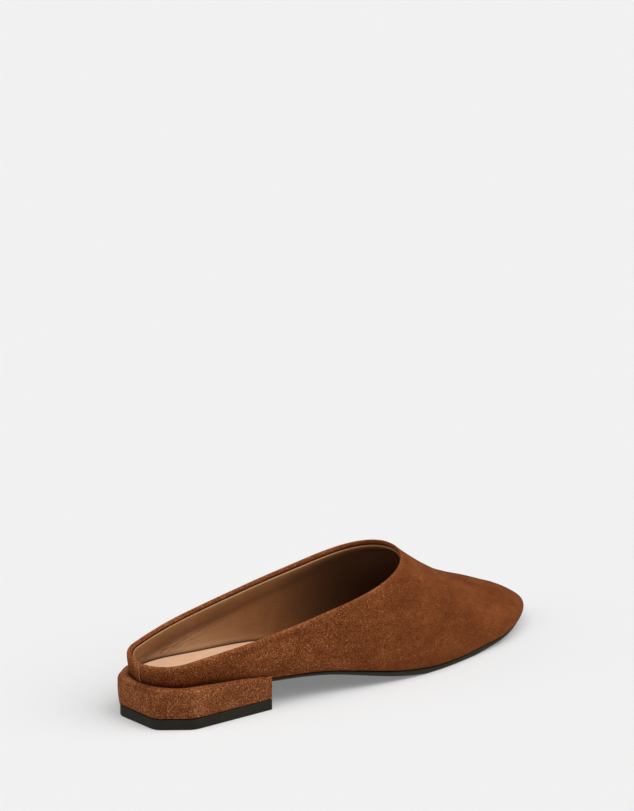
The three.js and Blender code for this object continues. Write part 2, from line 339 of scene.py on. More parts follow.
def drawn_in(loop, share):
    """The loop moved that share of the way to its middle line, which stops short of both ends."""
    half = len(loop) // 2
    far = loop[(-np.arange(len(loop))) % len(loop)]
    middle = (loop + far) / 2
    ends = (loop[0, 0], loop[half, 0])
    short = (ends[0] + INSOLE_MIDDLE_SHORT, ends[1] - INSOLE_MIDDLE_SHORT)
    spine_x = np.interp(loop[:, 0], ends, short)
    spine_y = np.interp(spine_x, middle[:half + 1, 0], middle[:half + 1, 1])
    return loop + (np.stack([spine_x, spine_y, loop[:, 2]], -1) - loop) * share


def insole_top(x):
    """Height of the insole's upper face above the feather edge: a cushion under the heel."""
    return insole_line(x / LENGTH)


insole_steps = spread(INSOLE_STATIONS)
edge_inset = WALL + INSOLE_CLEAR
insole_loops = [level_loop(lambda x: 0.0 * x, edge_inset, insole_steps)]
for turn in np.linspace(0, np.pi / 2, INSOLE_EDGE_ROWS):
    inset = edge_inset + INSOLE_ROUND * (1 - np.cos(turn))
    drop = INSOLE_ROUND * (1 - np.sin(turn))
    insole_loops.append(level_loop(lambda x: insole_top(x) - drop, inset, insole_steps))
insole_rim = insole_loops[-1]
for share in INSOLE_ROWS:
    loop = drawn_in(insole_rim, share)
    dish = INSOLE_DISH * np.sin(np.pi / 2 * share ** INSOLE_DISH_POWER)
    loop[:, 2] = feather(loop[:, 0]) + insole_top(loop[:, 0]) - dish
    insole_loops.append(loop)
insole = piece_from_loops("insole_cover", insole_loops)

insole_leather, shader, place = finish(
    "insole_leather", Specular_IOR_Level=0.4, Sheen_Weight=0.05, Coat_Roughness=0.4)
streaks = place.stretched(0.25, 1.0, 1.0).grain(2.4, detail=4, roughness=0.6)
clouds = place.grain(18, detail=3)
pores = place.grain(0.45, detail=2, roughness=0.6)
tone = streaks * 0.45 + clouds * 0.35 + pores * 0.2
tone.between(0.25, 0.75).blended(dye(198, 153, 119), dye(218, 178, 146)).to(shader.inputs["Base Color"])
(0.5 + pores * 0.14).to(shader.inputs["Roughness"])
raise_surface(pores * 0.6 + streaks * 0.4, 0.12, shader)
insole.data.materials.append(insole_leather)
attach(insole, "root")
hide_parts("insole")

# ---- Suede upper -------------------------------------------------------------------------------
# Brown suede pulled over the last and a stiffener, and turned under at the feather edge. It is cut low
# round the heel, closed by one seam down the centre back, and folded over to the inside at the topline.

THROAT = 0.614
TOPLINE_AT = (0.00, 0.10, 0.22, 0.35, 0.49)
TOPLINE_RIGHT = (0.480, 0.543, 0.615, 0.720, 0.852)
TOPLINE_LEFT = (0.480, 0.559, 0.631, 0.734, 0.864)
ROLL = 0.95
FOLD, HEEL_FOLD, HEEL_FOLD_LENGTH = 2.05, 2.65, 70
SUEDE = 1.2
EDGE_DEPTH, HEEL_EDGE_DEPTH, EDGE_DEPTH_RUN = 0.7, 0.35, 100
FOOT_ROUND, TOE_FOOT_ROUND = 0.5, 1.2
UPPER_ROWS = 70
HIDDEN_ROWS = 10
SEAM_GROOVE, SEAM_GROOVE_WIDTH = 0.6, 0.28
SEAM_LIP, SEAM_LIP_PLACE, SEAM_LIP_WIDTH = 0.45, 0.62, 0.34
SEAM_FAR_LIP = 0.45
SEAM_NOTCH, SEAM_NOTCH_WIDTH = 0.7, 0.6
# Two waves in which the seam wanders: how far, how many radians up the wall, and where they begin.
SEAM_WANDER = ((0.34, 10, 0), (0.12, 27, 1))
SEAM_ZONE, SEAM_STATIONS, SIDE_STATIONS = 0.034, 15, 206
SWELL_FADE = 4
FOOT_ROUND_FROM = 0.78
ROLL_ROWS = 15
FOLD_END = 2.8
# Painted light and shade on the suede, with a little dirt in the crease: above 0 paler, below 0 darker.
LIP_PAINTED_HIGHLIGHT, BESIDE_SEAM_PALER, SEAM_PAINTED_SHADE = 6.5, 1.3, -4.5
LOW_HEEL_PAINTED_SHADE, CREASE_SHADE_AND_DIRT, BELOW_RIM_PAINTED_HIGHLIGHT, FOOT_PAINTED_SHADE = -1.8, -2.0, 0.8, -0.5
ROLL_PAINTED_HIGHLIGHT, TUFTS_PALER, NOTCH_PAINTED_SHADE, FOLD_PAINTED_SHADE = 0.9, 1.5, -3.0, -1.2
# Where it is painted, each with its place and its width: round the heel, up the wall, and from the seam.
LOW_HEEL_X, LOW_HEEL_UP = (14, 34), (2.0, 5.0)
SEAM_FREE, SEAM_FREE_ZONE = 0.7, (2.5, 2.5)
CREASE_X, CREASE_UP = (0, 60), (2.4, 1.3)
BESIDE_SEAM, TUFTS, NOTCH = (1.5, 1.1), (-0.6, 0.5), (0, 0.3)
FOOT_SHADE_WIDTH, RIM_HIGHLIGHT_WIDTH = 1.2, 1.3

right_rim = drawn_line((*TOPLINE_AT, THROAT), (*TOPLINE_RIGHT, float(ridge_share(THROAT))))
left_rim = drawn_line((*TOPLINE_AT, THROAT), (*TOPLINE_LEFT, float(ridge_share(THROAT))))


def rim(x, side):
    """Height of the topline."""
    return INSTEP * np.where(side < 0, right_rim(x / LENGTH), left_rim(x / LENGTH))


rim_start = first_where(lambda x: feather(x) + crown(x) > rim(x, -1.0), 0.0, HEEL_RISE)


def on_ball(x, angle):
    """The last stands for a half ball, on which the lines from the feather edge up run straight."""
    along = 2 * x / LENGTH - 1
    across = np.sqrt(np.maximum(1 - along ** 2, 0))
    return np.stack([along, -across * np.cos(angle), across * np.sin(angle)], axis=-1)


def up_the_wall(steps, side, climb, inset=0.0):
    """Points of the side wall: climb is 0 at the feather edge and 1 at the topline."""
    foot = on_ball(steps * LENGTH, np.where(side < 0, 0.0, np.pi))
    x = rim_start + steps * LENGTH - (LENGTH - THROAT * LENGTH + rim_start) * steps ** 2
    head = on_ball(x, angle_at(x, side, rim(x, side) - feather(x)))
    turn = np.arccos(np.clip((foot * head).sum(-1), -1, 1))
    mix = foot * np.sin((1 - climb) * turn)[..., None] + head * np.sin(climb * turn)[..., None]
    mix /= np.sin(turn)[..., None]
    angle = np.arctan2(np.maximum(mix[..., 2], 0), -mix[..., 1])
    return on_last(LENGTH * (1 + mix[..., 0]) / 2, angle, inset)


def outward(grid):
    """Unit normals of a grid of points whose rows are loops."""
    along = np.roll(grid, -1, axis=1) - np.roll(grid, 1, axis=1)
    up = np.gradient(grid, axis=0)
    normal = np.cross(along, up)
    return normal / np.maximum(np.linalg.norm(normal, axis=-1, keepdims=True), 1e-9)


def bell(distance, width):
    """1 at no distance, fading to 0 on both sides over about that width."""
    return np.exp(-(distance / width) ** 2)


def within(value, zone):
    """1 at a zone's place, fading to 0 over its width."""
    return bell(value - zone[0], zone[1])


# Stations are close together at the centre back, where the seam is.
seam_turns = np.linspace(0, SEAM_ZONE, SEAM_STATIONS)[:-1]
side_turns = np.linspace(SEAM_ZONE, np.pi, SIDE_STATIONS)
upper_steps = (1 - np.cos(np.concatenate([seam_turns, side_turns]))) / 2
upper_s, upper_side = both_sides(upper_steps)
climbs = np.linspace(0, 1, UPPER_ROWS)[:, None]
skin = up_the_wall(upper_s[None, :], upper_side[None, :], climbs)
skin_normal = outward(skin)


def from_seam(grid):
    """Distance along each loop from the centre back: negative on the right side."""
    steps = np.linalg.norm(np.diff(grid, axis=1, append=grid[:, :1]), axis=2)
    out = np.concatenate([np.zeros((len(grid), 1)), np.cumsum(steps, axis=1)[:, :-1]], axis=1)
    back = out - steps.sum(axis=1, keepdims=True)
    return np.where(out < -back, -out, -back)


# The seam wanders a little, and the edge on its right lies slightly over the other.
seam_way = from_seam(skin) + sum(far * np.sin(climbs * pace + start) for far, pace, start in SEAM_WANDER)
seam_line = bell(seam_way, SEAM_GROOVE_WIDTH)
seam_right = bell(seam_way + SEAM_LIP_PLACE, SEAM_LIP_WIDTH)
seam_lips = seam_right + SEAM_FAR_LIP * bell(seam_way - SEAM_LIP_PLACE, SEAM_LIP_WIDTH)
seam_relief = SEAM_LIP * seam_lips - SEAM_GROOVE * seam_line

# Suede is never quite even: long shallow swells over the whole wall.
X, Y, Z = skin[..., 0], skin[..., 1], skin[..., 2]
above_foot = Z - feather(X)
broad_swell = 0.10 * np.sin(X / 9.1 + Y / 14.3 + 0.7) * np.sin(Z / 7.3 + Y / 21.0 + 1.9)
short_swell = 0.07 * np.sin(X / 5.3 - Z / 6.1 + 2.1) * np.sin(Y / 8.7 + X / 17.0)
swells = (broad_swell + short_swell) * np.minimum(above_foot, SWELL_FADE) / SWELL_FADE

# Where the suede is drawn over the feather edge, its foot rounds in, most of all at the toe.
toe_share = np.clip((X / LENGTH - FOOT_ROUND_FROM) / (1 - FOOT_ROUND_FROM), 0, 1)
foot_radius = FOOT_ROUND + (TOE_FOOT_ROUND - FOOT_ROUND) * toe_share
foot_height = np.minimum(above_foot / foot_radius, 1)
foot_round = foot_radius * (1 - np.sqrt(np.maximum(1 - (1 - foot_height) ** 2, 0)))
skin = skin + skin_normal * (seam_relief + swells - foot_round)[..., None]

# Over the topline: a half round from the outer face to the inner one, with a notch at the seam.
fold_inset = FOLD + (HEEL_FOLD - FOLD) * bell(skin[-1, :, 0], HEEL_FOLD_LENGTH)
rim_out, rim_in = skin[-1], up_the_wall(upper_s, upper_side, 1.0, fold_inset)
rim_up = skin[-1] - skin[-3]
rim_up /= np.linalg.norm(rim_up, axis=-1, keepdims=True)
rim_up *= (ROLL * (1 - SEAM_NOTCH * bell(seam_way[-1], SEAM_NOTCH_WIDTH)))[:, None]
rim_middle, rim_half = (rim_out + rim_in) / 2, (rim_out - rim_in) / 2
roll = [
    rim_middle + rim_half * np.cos(turn) + rim_up * np.sin(turn)
    for turn in np.linspace(0, np.pi, ROLL_ROWS)[1:]
]


def length_up(wall):
    """Length up the wall to each point, from the feather edge."""
    steps = np.linalg.norm(np.diff(wall, axis=0), axis=2)
    return np.concatenate([np.zeros((1, wall.shape[1])), np.cumsum(steps, axis=0)])


def climb_below(depth, lengths):
    """Climb of the wall at each station, at that depth below the topline."""
    depths = np.broadcast_to(depth, lengths.shape[1])
    return np.array([
        np.interp(column[-1] - one, column, climbs[:, 0]) for one, column in zip(depths, lengths.T)
    ])


def edge_depth(x):
    """Depth of the lining's top edge below the topline."""
    return HEEL_EDGE_DEPTH + (EDGE_DEPTH - HEEL_EDGE_DEPTH) * np.clip(x / EDGE_DEPTH_RUN, 0, 1)


# Inside the rim the fold runs down a little way, then turns back behind the lining's edge. Shares of
# the depth to that edge, and of the way in from the suede's own thickness.
FOLD_PROFILE = ((0.35, 1.0), (0.7, 1.0), (1.0, 0.96), (1.25, 0.78), (1.5, 0.42), (1.9, 0.0))
wall_length = length_up(skin)
rim_depth = edge_depth(skin[-1, :, 0])
fold = [
    up_the_wall(
        upper_s, upper_side, climb_below(rim_depth * down, wall_length),
        SUEDE + (fold_inset - SUEDE) * share)
    for down, share in FOLD_PROFILE
]
hidden_top = climb_below(FOLD_END, wall_length)
hidden = [
    up_the_wall(upper_s, upper_side, hidden_top * share, SUEDE)
    for share in np.linspace(1, 0, HIDDEN_ROWS)
]
upper_loops = np.array([*skin, *roll, *fold, *hidden])

# Painted highlights on the rolled edge, just below the rim and on the seam's right lip, and paler beside
# the seam and on the tufts by the notch. Painted shade in the seam, the notch, inside the fold, low
# round the heel and at the foot, and painted shade with some dirt in the crease above the heel block.
clear_of_seam = 1 - SEAM_FREE * within(seam_way, SEAM_FREE_ZONE)
low_painted_shade = LOW_HEEL_PAINTED_SHADE * within(X, LOW_HEEL_X) * within(above_foot, LOW_HEEL_UP) * clear_of_seam
low_painted_shade += CREASE_SHADE_AND_DIRT * within(X, CREASE_X) * within(above_foot, CREASE_UP)
low_painted_shade += FOOT_PAINTED_SHADE * bell(above_foot, FOOT_SHADE_WIDTH)
seam_painted_light = LIP_PAINTED_HIGHLIGHT * seam_right + SEAM_PAINTED_SHADE * seam_line
seam_painted_light += BESIDE_SEAM_PALER * within(seam_way, BESIDE_SEAM)
rim_painted_highlight = BELOW_RIM_PAINTED_HIGHLIGHT * bell(wall_length[-1] - wall_length, RIM_HIGHLIGHT_WIDTH)
tufts_and_notch_shade = TUFTS_PALER * within(seam_way[-1], TUFTS) + NOTCH_PAINTED_SHADE * within(seam_way[-1], NOTCH)
# The mark carries this painted light and shade into the suede's colour.
wear = np.zeros(upper_loops.shape[:2])
rolled = len(skin) + len(roll)
wear[:len(skin)] = seam_painted_light + low_painted_shade + rim_painted_highlight
wear[len(skin):rolled] = ROLL_PAINTED_HIGHLIGHT + tufts_and_notch_shade
wear[rolled + 2:rolled + len(fold)] = FOLD_PAINTED_SHADE
upper = piece_from_loops("suede_upper", upper_loops, wrapped=True, marks={"wear": wear})

SUEDE_STOPS = (0.0, 0.34, 0.5, 0.68, 1.0)


def suede_finish(name, shades, speckle):
    """Brushed suede: patches of nap lying different ways, short fibres, and a dry velvet sheen, plus the
    painted light and shade of its mark. The speckle of the fibres is strong at the heel and soft towards
    the toe."""
    material, shader, place = finish(
        name, Specular_IOR_Level=0.06, Sheen_Weight=0.12, Sheen_Roughness=0.5,
        Sheen_Tint=dye(222, 128, 66))
    brushed = place.stretched(0.6, 1.0, 1.3)
    patches = brushed.grain(19, detail=2, roughness=0.5, distortion=0.5)
    strokes = brushed.grain(6.0, detail=3, roughness=0.6, distortion=1.0)
    fibres = place.grain(0.62, detail=2, roughness=0.6)
    hairs = place.grain(0.35, detail=2, roughness=0.6)
    specks = place.grain(0.58, detail=1).between(0.58, 0.72)
    coarse = speckle * (1 - 0.6 * place.along().between(0.05, 0.19))
    nap = (fibres - 0.5) * 1.15 + specks * 0.26
    # The mark adds painted highlights and painted shade to the random tone of the nap.
    lie_and_painted_light = (patches - 0.5) * 0.42 + (strokes - 0.5) * 0.35 + place.mark("wear") * 0.13
    tone = nap * coarse + lie_and_painted_light + 0.47
    stops = tuple(zip(SUEDE_STOPS, shades))
    tone.node("ShaderNodeValToRGB", {"stops": stops}, {"Fac": tone}).to(shader.inputs["Base Color"])
    (0.84 + fibres * 0.16).to(shader.inputs["Roughness"])
    raise_surface(fibres * 0.7 + hairs * 0.3, 0.32, shader)
    return material


SUEDE_SHADES = (dye(54, 22, 8), dye(89, 44, 19), dye(108, 57, 26), dye(128, 72, 37), dye(172, 118, 82))
upper.data.materials.append(suede_finish("suede", SUEDE_SHADES, 1.5))
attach(upper, "root")
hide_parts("upper")

# ---- Lining ------------------------------------------------------------------------------------
# Thin satin-finished leather glued inside the upper and the stiffener, padded under its top edge. The
# rounded edge stops just below the folded suede. The leather wrinkles where the heel curves.

LINING_OUT = 1.34
LINING_IN = 2.3
RIM_GROOVE, HEEL_RIM_GROOVE, HEEL_GROOVE_LENGTH = 0.05, 0.2, 45
LINING_ROUND = 0.8
LINING_LIP = 1.1
LINING_PAD_DEPTH = 4.6
LINING_ROWS = 84
TUCK, TUCK_HEIGHT, TUCK_WIDTH = 0.15, 1.4, 1.0
HEEL_TUCK, HEEL_TUCK_WIDTH, HEEL_TUCK_LENGTH = 1.3, 2.2, 16
LINING_STATIONS = 300
LINING_ROW_POWER = 1.15
LINING_EDGE_ROWS = 11
# Behind the turned edge: depth below it, and share of the way from the hidden face out to the edge.
LINING_BACK = ((0.7, 0.72), (1.4, 0.34), (2.2, 0.0))
LINING_BACK_SHARES = np.linspace(0.15, 1, 7)
WRINKLE, RIPPLE, WRINKLE_SLANT = 0.22, 0.12, 0.17
# Zones of its inner face, each with its place and its width: round the heel, or below the edge.
QUARTER_X, QUARTER_DOWN = (34, 40), (9.5, 4.5)
# Where a satin reflection is painted on as a paler colour.
SHEEN_X, SHEEN_FROM, SHEEN_FADE = (45, 34), 8.0, 4.0
TROUGH = (7.0, 2.0)
# A painted highlight fades down the inner face below the turned edge, less of it round the heel.
SOFT_EDGE, HEEL_SOFT_EDGE, HEEL_SOFT_LENGTH, SOFT_EDGE_WIDTH = 0.75, 0.25, 40, 2.0
TUCK_SHADOW = 0.6

lining_s, lining_side = both_sides(spread(LINING_STATIONS))
lining_wall = up_the_wall(lining_s[None, :], lining_side[None, :], climbs)
lining_length = length_up(lining_wall)


def lining_row(depth, inset):
    """Points of the wall at that depth below the topline, moved inwards by inset."""
    return up_the_wall(lining_s, lining_side, climb_below(depth, lining_length), inset)


rim_x = lining_wall[-1, :, 0]
lining_top = edge_depth(rim_x)
round_depth = lining_top + LINING_ROUND
row_shares = np.linspace(1, 0, LINING_ROWS)[:, None] ** LINING_ROW_POWER
below_edge = (lining_length[-1] - round_depth) * row_shares
inner_depth = round_depth + below_edge
beside_fold = FOLD + (HEEL_FOLD - FOLD) * bell(rim_x, HEEL_FOLD_LENGTH)
beside_fold += RIM_GROOVE + (HEEL_RIM_GROOVE - RIM_GROOVE) * bell(rim_x, HEEL_GROOVE_LENGTH)
pad = (beside_fold + LINING_LIP - LINING_IN) * bell(below_edge, LINING_PAD_DEPTH)
inner_face = np.array([lining_row(depth, LINING_IN) for depth in inner_depth])
inner_normal = outward(inner_face)

# Wrinkles run up and forwards over the lower heel quarters, and shallow ripples everywhere.
LX, LY, LZ = inner_face[..., 0], inner_face[..., 1], inner_face[..., 2]
above_edge = LZ - feather(LX)
slant = above_edge * 0.96 - LX * 0.27
wobble = 0.9 * np.sin(LX / 7.3 + LY / 11.0) + 0.6 * np.sin(LX / 3.1 - LZ / 3.7)
beside_seam = np.clip((np.abs(LY) - 5) / 6, 0, 1)
quarter = within(LX, QUARTER_X) * within(below_edge, QUARTER_DOWN) * beside_seam
folds = bell(np.sin(slant / 1.1 + wobble * 0.6), 0.35) * (0.5 + 0.5 * np.sin(LX / 8.0 + 1.3))
ripples = np.sin(LX / 13.0 + 0.4) * np.sin(LZ / 7.0 + LX / 19.0)
relief = WRINKLE * quarter * folds + RIPPLE * ripples

# The leather bulges a little over the insole's edge; where it goes down behind it, it is painted in
# shade.
above_insole = above_edge - insole_top(LX)
tuck = TUCK * within(above_insole, (TUCK_HEIGHT, TUCK_WIDTH))
heel_tuck = HEEL_TUCK * within(above_insole, (TUCK_HEIGHT, HEEL_TUCK_WIDTH))
heel_tuck *= bell(LX, HEEL_TUCK_LENGTH)
inner_face = inner_face - inner_normal * (relief + pad + tuck + heel_tuck)[..., None]

# The turned edge: a half round between the two faces, and the hidden face behind it.
edge_out = lining_row(round_depth, beside_fold)
edge_in = inner_face[-1]
edge_up = lining_row(lining_top, beside_fold) - edge_out
edge_middle, edge_half = (edge_in + edge_out) / 2, (edge_in - edge_out) / 2
turned_edge = [
    edge_middle + edge_up * np.sin(turn) + edge_half * np.cos(turn)
    for turn in np.linspace(0, np.pi, LINING_EDGE_ROWS)[1:]
]
outer_face = [
    lining_row(round_depth + down, LINING_OUT + (beside_fold - LINING_OUT) * share)
    for down, share in LINING_BACK
]
back_top = round_depth + LINING_BACK[-1][0]
outer_face += [
    lining_row(back_top + (lining_length[-1] - back_top) * share, LINING_OUT)
    for share in LINING_BACK_SHARES
]
lining_loops = np.array([*inner_face, *turned_edge, *outer_face])[::-1]


def face_mark(values):
    """A mark for every point of the lining, from its values on the inner face."""
    mark = np.zeros(lining_loops.shape[:2])
    mark[-len(inner_face):] = values[::-1]
    return mark


# The turned edge is paler in its own colour and as painted highlight, which fades down the face below it.
edge_painted_highlight = SOFT_EDGE + (HEEL_SOFT_EDGE - SOFT_EDGE) * bell(rim_x, HEEL_SOFT_LENGTH)
raw_edge_and_highlight = face_mark(edge_painted_highlight * bell(below_edge, SOFT_EDGE_WIDTH))
raw_edge_and_highlight[len(outer_face):-len(inner_face)] = 1.0
sheen_below_edge = np.clip((below_edge - SHEEN_FROM) / SHEEN_FADE, 0, 1)
lining_marks = {
    "turned_edge": raw_edge_and_highlight,
    "crumpled": face_mark(quarter),
    "trough": face_mark(within(below_edge, TROUGH)),
    "paled": face_mark(sheen_below_edge * within(LX, SHEEN_X)),
    "tucked": face_mark(bell(np.maximum(above_insole, 0), TUCK_SHADOW)),
}
lining = piece_from_loops("lining", lining_loops, wrapped=True, marks=lining_marks)

lining_leather, shader, place = finish(
    "lining_leather", Specular_IOR_Level=0.75, Specular_Tint=dye(255, 232, 208))
clouds = place.grain(15, detail=3, distortion=0.5)
creases = place.stretched(0.55, 1.0, 1.7).grain(2.2, detail=4, roughness=0.62, distortion=0.8)
pores = place.grain(0.5, detail=2)
slanted = place.node(
    "ShaderNodeVectorRotate", {"rotation_type": "Y_AXIS"}, {"Vector": place, "Angle": WRINKLE_SLANT})
wrinkles = slanted.stretched(0.1, 0.1, 1.3).grain(0.8, detail=2, distortion=0.35)
crumpled = place.mark("crumpled")
tone = clouds * 0.45 + creases * 0.4 + pores * 0.15
hide = tone.between(0.3, 0.7).blended(dye(110, 67, 33), dye(134, 87, 48))
# Painted shade in the trough under the padded edge.
trough_painted_shade = (place.mark("trough") * 0.5).blended(hide, dye(76, 44, 20))
# A painted satin reflection: a paler, greyer colour on the lower face round the heel.
painted_satin_sheen = (place.mark("paled") * 0.95).blended(trough_painted_shade, dye(158, 116, 80))
# Painted shade: the face darkens from 92 mm to 138 mm forward, deeper inside the shoe.
face = (place.along().between(0.092, 0.138) * 0.76).blended(painted_satin_sheen, dye(50, 27, 12))
# The turned edge's paler colour, also laid as a painted highlight down the face below it.
edge = pores.between(0.3, 0.7).blended(dye(136, 93, 57), dye(158, 113, 74))
with_painted_edge_highlight = place.mark("turned_edge").blended(face, edge)
# Painted shade in the wrinkles round the heel.
wrinkles_painted_shade = (crumpled * wrinkles.between(0.56, 0.44) * 0.55).blended(with_painted_edge_highlight, dye(84, 48, 22))
# Painted shade where the lining goes down behind the insole.
place.mark("tucked").blended(wrinkles_painted_shade, dye(40, 20, 9)).to(shader.inputs["Base Color"])
(0.36 + creases * 0.16).to(shader.inputs["Roughness"])
raise_surface(creases * 0.35 + wrinkles * crumpled * 1.2 + pores * 0.15, 0.30, shader)
lining.data.materials.append(lining_leather)
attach(lining, "root")

# ---- Outsole -----------------------------------------------------------------------------------
# Thin moulded rubber, cemented under the upper from the heel breast to the toe. Its edge is trimmed
# just inside the feather edge, further in at the toe, with a fine groove and a soft bevel.

SOLE_AT = (0.22, 0.35, 0.49, 0.58, 0.75, 0.87, 1.00)
SOLE_DEPTH = (1.9, 2.2, 3.0, 3.5, 3.4, 2.1, 1.6)
SOLE_INSET = (0.4, 0.4, 0.4, 0.4, 0.5, 0.9, 1.9)
SOLE_GAP = 0.3
# Distance in from the sole's edge, and share of the way from the underside (0) to the top (1).
SOLE_EDGE = ((2.6, 0.0), (1.4, 0.0), (0.85, 0.03), (0.42, 0.12), (0.16, 0.24), (0.04, 0.38), (0.0, 0.52),
             (0.0, 0.62), (0.14, 0.66), (0.14, 0.70), (0.0, 0.74), (0.06, 0.84), (0.3, 0.93), (0.7, 0.98),
             (1.3, 1.0), (2.6, 1.0))
SOLE_STATIONS = 170

sole_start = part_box("outsole")[0].x / MM
sole_depth = drawn_line(SOLE_AT, SOLE_DEPTH)
sole_inset = drawn_line(SOLE_AT, SOLE_INSET)


def sole_loop(inset, share):
    """Loop in from the sole's edge by inset, at that share of its thickness."""
    s, side = both_sides(spread(SOLE_STATIONS))
    x = sole_start + s * (LENGTH - sole_start)
    loop = on_last(x, np.where(side < 0, 0.0, np.pi), sole_inset(x / LENGTH) + inset)
    top = feather(x) - SOLE_GAP
    under = np.maximum(feather(x) - sole_depth(x / LENGTH), 0.0)
    loop[:, 2] = under + (top - under) * share
    return loop


outsole = piece_from_loops("rubber_outsole", [sole_loop(inset, share) for inset, share in SOLE_EDGE])


def rubber_finish(name, dark, light, wear_size):
    """Matte black-brown rubber, dusted and worn."""
    material, shader, place = finish(name, Specular_IOR_Level=0.24, Specular_Tint=dye(255, 244, 224))
    dust = place.grain(wear_size, detail=4, roughness=0.6)
    grit = place.grain(0.55, detail=2)
    (dust * 0.6 + grit * 0.4).between(0.3, 0.75).blended(dark, light).to(shader.inputs["Base Color"])
    (0.5 + dust * 0.2).to(shader.inputs["Roughness"])
    raise_surface(grit, 0.09, shader)
    return material


outsole.data.materials.append(rubber_finish("sole_rubber", dye(26, 24, 17), dye(43, 40, 29), 9))
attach(outsole, "root")
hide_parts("outsole")

# ---- Heel cover --------------------------------------------------------------------------------
# The low heel block, wrapped in the suede of the upper over a thin pad, with chamfered rear corners
# and a soft top ledge that dips where the heel of the upper sits in it.

HEEL_BACK, HEEL_BACK_HALF = -3.2, 13.8
CHAMFER_END, CHAMFER_HALF = 11.2, 25.9
BREAST, BREAST_HALF = 56.8, 28.5
HEEL_CORNER, SOFT_CORNER = 3.2, 6.2
OUTLINE_STEP = 0.8
BREAST_CORNER = 0.7
BLOCK_TOP, BLOCK_TILT = 19.9, -0.03
BLOCK_OVERHANG, BLOCK_FLARE, BLOCK_ROUND = 0.4, 1.5, 2.6
BREAST_ROUND, BREAST_BLEND, BREAST_TOP_GAP = 0.8, 5, 0.35
EAR_ROUND = 2.2
SEAT_DIP = 0.9
SEAT_CLEAR = 0.12
SEAT_DRAWN_IN, SEAT_SETBACK, SEAT_SPLAY = 1.7, 1.8, 0.2
SEAT_SINK, LEDGE_DROP = 0.1, 0.05
# Rows from the ledge down beside the upper, as shares of its climb to the ledge.
SEAT_ROWS = (0.8, 0.55, 0.28, 0.0)
SEAT_LENGTH, SEAT_STATIONS, SEAT_CLIMBS = 0.30, 240, 90
FAN_X, FAN_FADE = 25.0, 20
# Hem at the base of the cover: how far out it reaches, and how high above the base.
HEM = ((-3.0, 0.0), (-0.9, 0.0), (-0.45, 0.08), (-0.12, 0.3), (0.0, 0.7))
HEM_AT_BREAST = 0.2
WALL_ROWS, LEDGE_ROWS = 13, 29
SEAT_EDGE = 1.5
RUB, RUB_WIDTH, RUB_AHEAD = 1.3, 3.2, 1.5
REAR_RUN, SIDE_START, LEFT_FADE = 1.5, 2, 16
# How much paler (above 0) or darker (below 0) the heel's suede is: painted light on the rear face and the
# left of the ledge, painted shade on the right of the ledge and in the seat; the walls and hem a little
# darker, the sides less so.
REAR_PAINTED_LIGHT, SIDES_LIGHTER, WALLS_DARKER, HEM_DARKER = 1.0, 0.35, -0.35, -0.4
LEFT_LEDGE_PAINTED_LIGHT, LEDGE_PAINTED_SHADE, SEAT_PAINTED_SHADE, IN_SEAT_PAINTED_SHADE = 2.6, -0.3, -1.0, -1.6


def heel_outline(corner_cut):
    """Half outline of the heel from the centre back to the middle of the breast, on the left side, its
    outward normals, and how much of the flare each point takes."""
    corners = np.array([
        (HEEL_BACK, 0.0), (HEEL_BACK, HEEL_BACK_HALF), (CHAMFER_END, CHAMFER_HALF),
        (BREAST, BREAST_HALF), (BREAST, 0.0),
    ])
    points = [corners[0]]
    cuts = (corner_cut, corner_cut, BREAST_CORNER)
    for before, at, after, cut in zip(corners[:-2], corners[1:-1], corners[2:], cuts):
        enter = at + (before - at) / np.linalg.norm(before - at) * cut
        leave = at + (after - at) / np.linalg.norm(after - at) * cut
        count = int(np.linalg.norm(at - before) / OUTLINE_STEP)
        start = points[-1]
        points += [start + (enter - start) * i / count for i in range(1, count + 1)]
        for t in np.linspace(0, 1, 11)[1:]:
            points.append(enter * (1 - t) ** 2 + at * 2 * t * (1 - t) + leave * t ** 2)
    start = points[-1]
    count = int(np.linalg.norm(corners[-1] - start) / OUTLINE_STEP)
    points += [start + (corners[-1] - start) * i / count for i in range(1, count + 1)]
    points = np.array(points)
    along = np.gradient(points, axis=0)
    normal = np.stack([-along[:, 1], along[:, 0]], -1)
    normal[0], normal[-1] = (-1, 0), (1, 0)
    share = np.clip((BREAST - points[:, 0]) / (BREAST - CHAMFER_END), 0, 1)
    return points, normal / np.linalg.norm(normal, axis=1, keepdims=True), share


def mirrored(values, flip):
    """Left half to the whole loop: the right side first, then the left side back."""
    return np.concatenate([values * np.array(flip), values[-2:0:-1]])


half, half_normal, half_share = heel_outline(HEEL_CORNER)
soft_half = heel_outline(SOFT_CORNER)[0]
outline = mirrored(half, (1, -1))
outline_normal = mirrored(half_normal, (1, -1))
soften = mirrored(soft_half, (1, -1)) - outline
grow_share = mirrored(half_share, 1)
ones = np.ones(len(outline))


def heel_loop(grow, z, soft=0.0):
    """Loop round the heel at height z, moved out by grow, and less and less towards the breast, or in
    all round where grow is negative. Soft is 0 for crisp corners and 1 for the padded ones."""
    out = grow * np.where(grow < 0, ones, grow_share)
    plan = outline + soften * soft + outline_normal * out[:, None]
    return np.stack([plan[:, 0], plan[:, 1], z * ones], -1)


on_breast = np.clip((outline[:, 0] - (BREAST - BREAST_BLEND)) / BREAST_BLEND, 0, 1) ** 2
inner_breast = outline[:, 0] > BREAST - 0.01


def ear(x):
    """How far the ledge drops at the breast, where its front corners are rounded."""
    part = np.clip((x - (BREAST - EAR_ROUND)) / EAR_ROUND, 0, 1)
    return EAR_ROUND * (1 - np.sqrt(1 - part ** 2))


block_top = BLOCK_TOP + BLOCK_TILT * outline[:, 0] - ear(outline[:, 0])
block_round = BLOCK_ROUND + (BREAST_ROUND - BLOCK_ROUND) * on_breast

